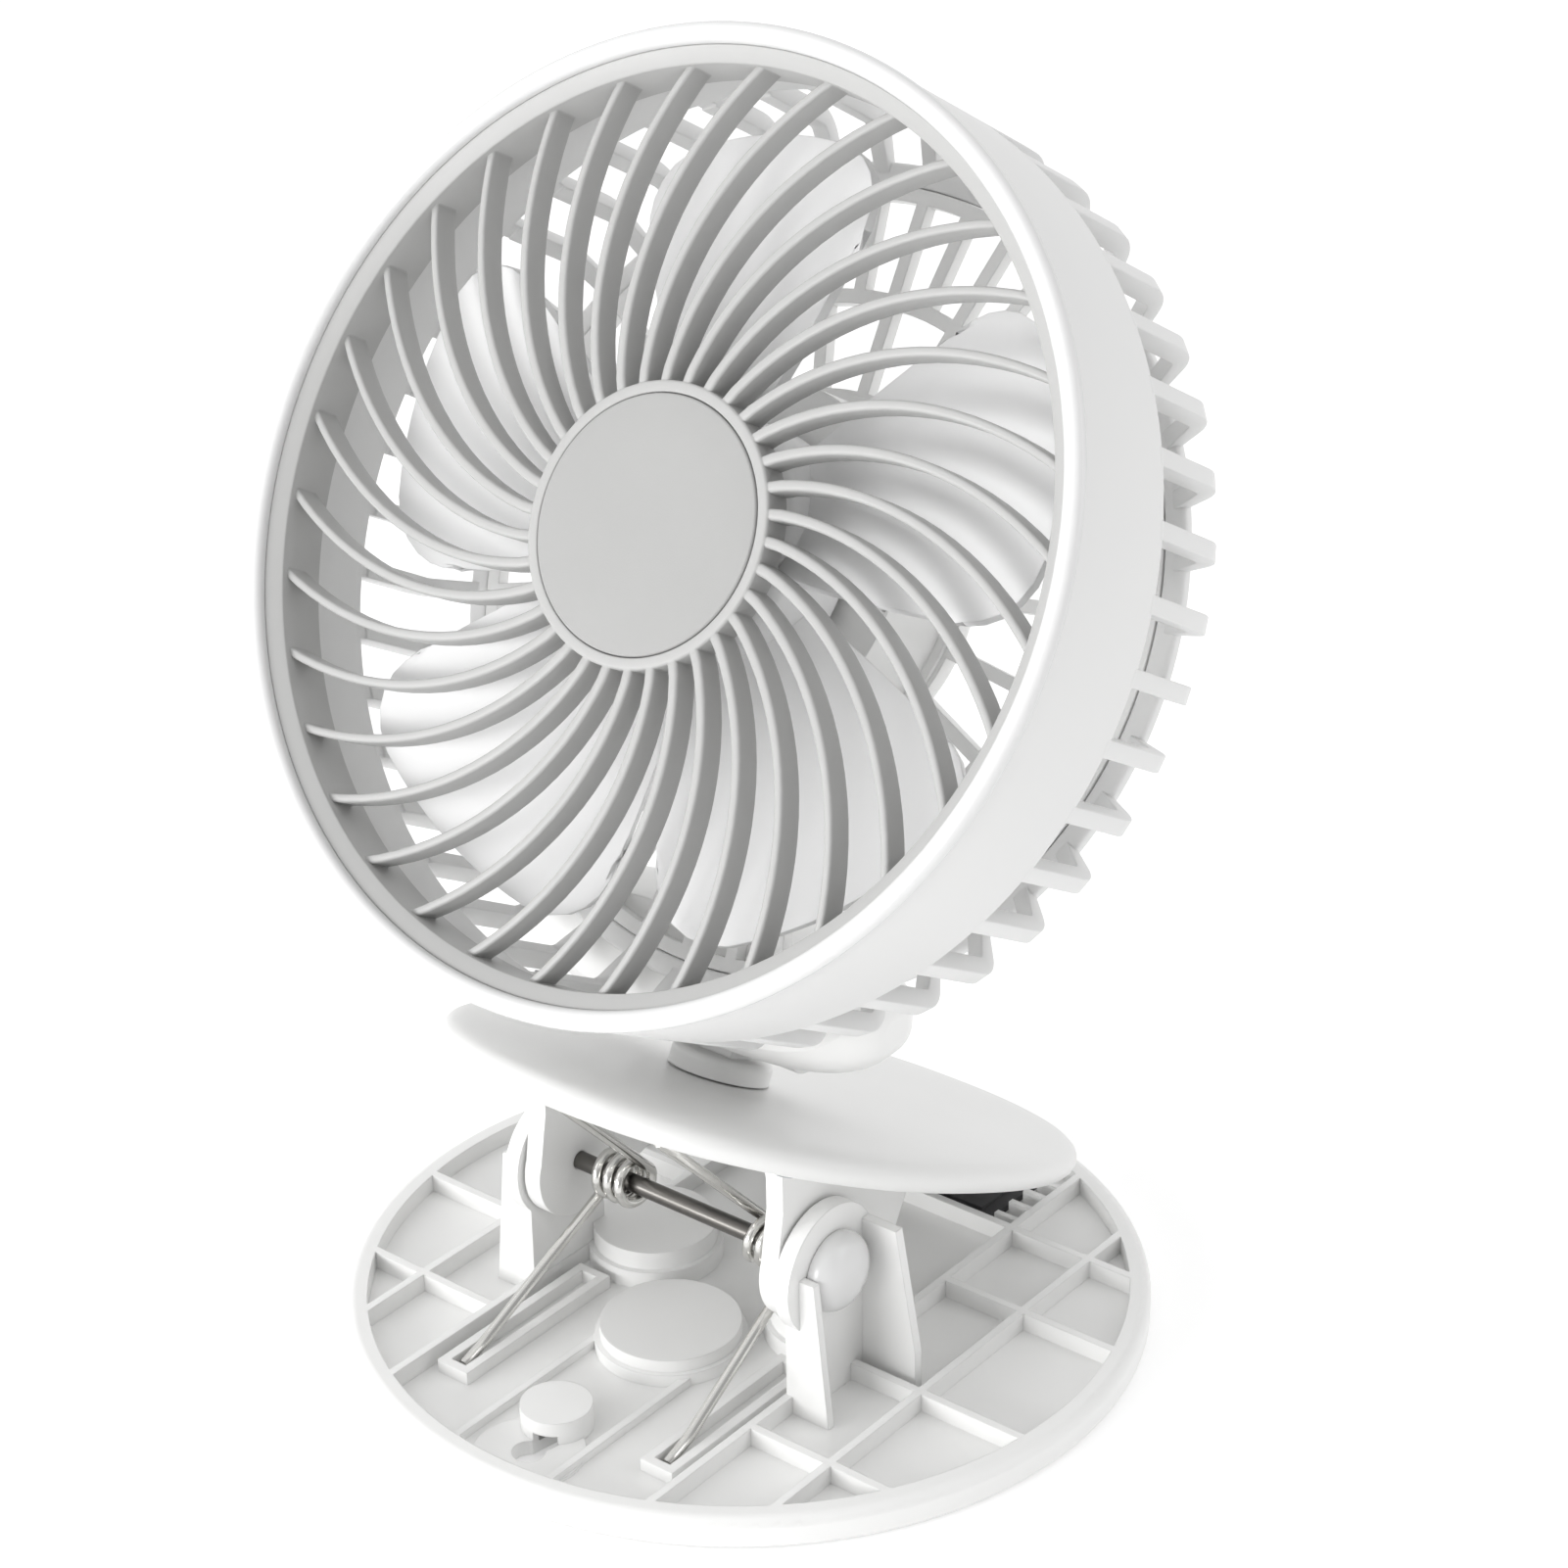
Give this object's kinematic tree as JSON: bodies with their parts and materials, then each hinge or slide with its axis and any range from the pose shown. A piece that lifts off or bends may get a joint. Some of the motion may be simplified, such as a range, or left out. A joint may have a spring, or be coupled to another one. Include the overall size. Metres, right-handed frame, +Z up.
{
  "type": "portable_fan",
  "caption": "Small white rechargeable fan whose round ribbed base doubles as the lower jaw of a sprung desk clamp, with a swirled front grille and a tilting, swivelling head.",
  "frame": {"origin": "middle of the box of the part, on the surface it stands on", "axes": "+Z up, the grille faces -Y and upward, +X to the fan's left as seen from its front"},
  "size_m": [0.1558, 0.14, 0.2225],
  "materials": {
    "white_shell": "moulded white ABS with a fine satin texture",
    "grey_grille": "pale grey satin moulding",
    "petal_white": "smooth white blades",
    "dark_rubber": "dull dark grey rubber",
    "bright_steel": "bright plated spring wire and fixings",
    "weight_iron": "plain cast discs, hidden",
    "cell_wrap": "shrink sleeve, hidden",
    "contact_brass": "plain strip, hidden",
    "board_laminate": "lacquered laminate, hidden",
    "clear_lens": "milky light pipe"
  },
  "bodies": {
    "base": {"base_plate": "white_shell", "base_feet": "dark_rubber", "ballast_weights": "weight_iron", "lower_jaw_pad": "dark_rubber", "clamp_axle": "bright_steel", "axle_caps": "white_shell", "spring_left": "bright_steel", "spring_right": "bright_steel"},
    "upper_jaw": {"upper_jaw_shell": "white_shell", "upper_jaw_frame": "white_shell", "upper_jaw_pad": "dark_rubber", "jaw_screws": "bright_steel"},
    "swivel": {"swivel_post": "white_shell", "swivel_washer": "bright_steel", "swivel_screw": "bright_steel"},
    "head": {"tilt_pin": "bright_steel", "battery_housing": "white_shell", "battery_door": "white_shell", "battery_door_screws": "bright_steel", "battery_cell": "cell_wrap", "battery_contacts": "contact_brass", "drum_shell": "white_shell", "rear_grille": "white_shell", "motor_seat": "white_shell", "trim_ring": "white_shell", "front_grille": "grey_grille", "hub_disc": "grey_grille", "motor_body": "bright_steel", "motor_screws": "bright_steel", "rear_cover": "white_shell", "rear_cover_screws": "bright_steel", "circuit_board": "board_laminate", "charging_socket": "bright_steel", "status_lens": "clear_lens"},
    "rotor": {"impeller": "petal_white", "motor_shaft": "bright_steel", "impeller_nut": "bright_steel"},
    "button": {"power_button": "grey_grille"}
  },
  "joints": [
    {"name": "clamp", "type": "hinge", "parent": "base", "child": "upper_jaw", "pos_m": [0, -0.016, 0.0275], "axis": [1, 0, 0], "range_deg": [0, 28], "stiffness_Nm_per_rad": 0.6, "springref_deg": -34.38, "deforming": ["spring_left", "spring_right"]},
    {"name": "head_swivel", "type": "hinge", "parent": "upper_jaw", "child": "swivel", "pos_m": [0, -0.00809, 0.04649], "axis": [0, 0.437, 0.8995], "range_deg": [-170, 170]},
    {"name": "head_tilt", "type": "hinge", "parent": "swivel", "child": "head", "pos_m": [0, -0.00241, 0.05819], "axis": [1, 0, 0], "range_deg": [-30, 6]},
    {"name": "impeller_spin", "type": "hinge", "parent": "head", "child": "rotor", "pos_m": [0, -0.02286, 0.15415], "axis": [0, -0.8707, 0.4918], "continuous": true},
    {"name": "power_press", "type": "slide", "parent": "head", "child": "button", "axis": [0, -0.8707, 0.4918], "range_m": [0, 0.0007], "stiffness_N_per_m": 300}
  ]
}
